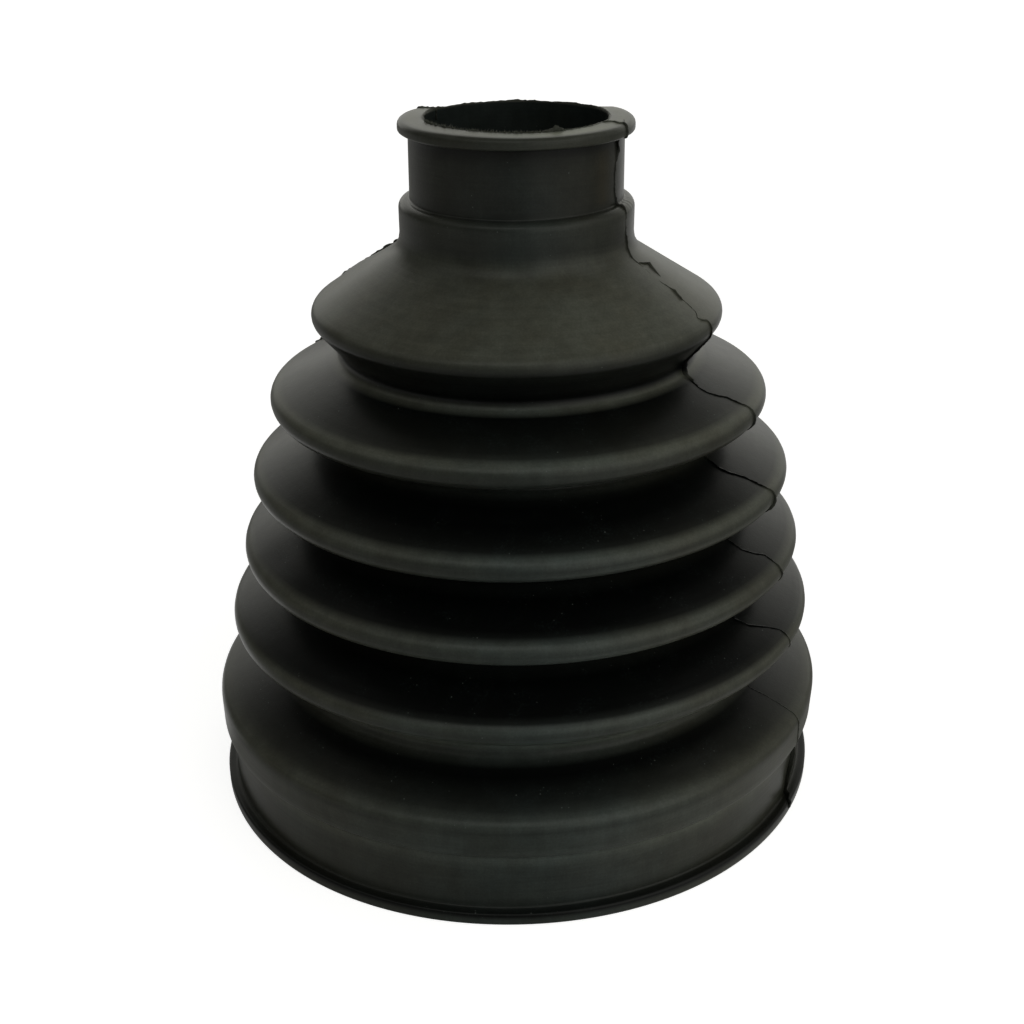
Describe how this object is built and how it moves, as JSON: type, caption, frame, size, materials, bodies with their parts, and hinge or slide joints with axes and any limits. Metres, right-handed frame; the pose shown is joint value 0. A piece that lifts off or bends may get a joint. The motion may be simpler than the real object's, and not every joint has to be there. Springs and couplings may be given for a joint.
{
  "type": "rubber bellows boot",
  "caption": "Hollow moulded rubber bellows boot that tapers from a wide clamped end through round folds to a narrow clamped neck.",
  "frame": {"origin": "centre of the large end's bottom lip, on the boot's axis", "axes": "+Z along the boot's axis from the large end to the small end; +X to the right and -Y to the front"},
  "size_m": [0.0942, 0.0942, 0.1023],
  "materials": {
    "rubber": "semi-gloss"
  },
  "bodies": {
    "root": {"bellows_boot": "rubber"}
  },
  "joints": []
}
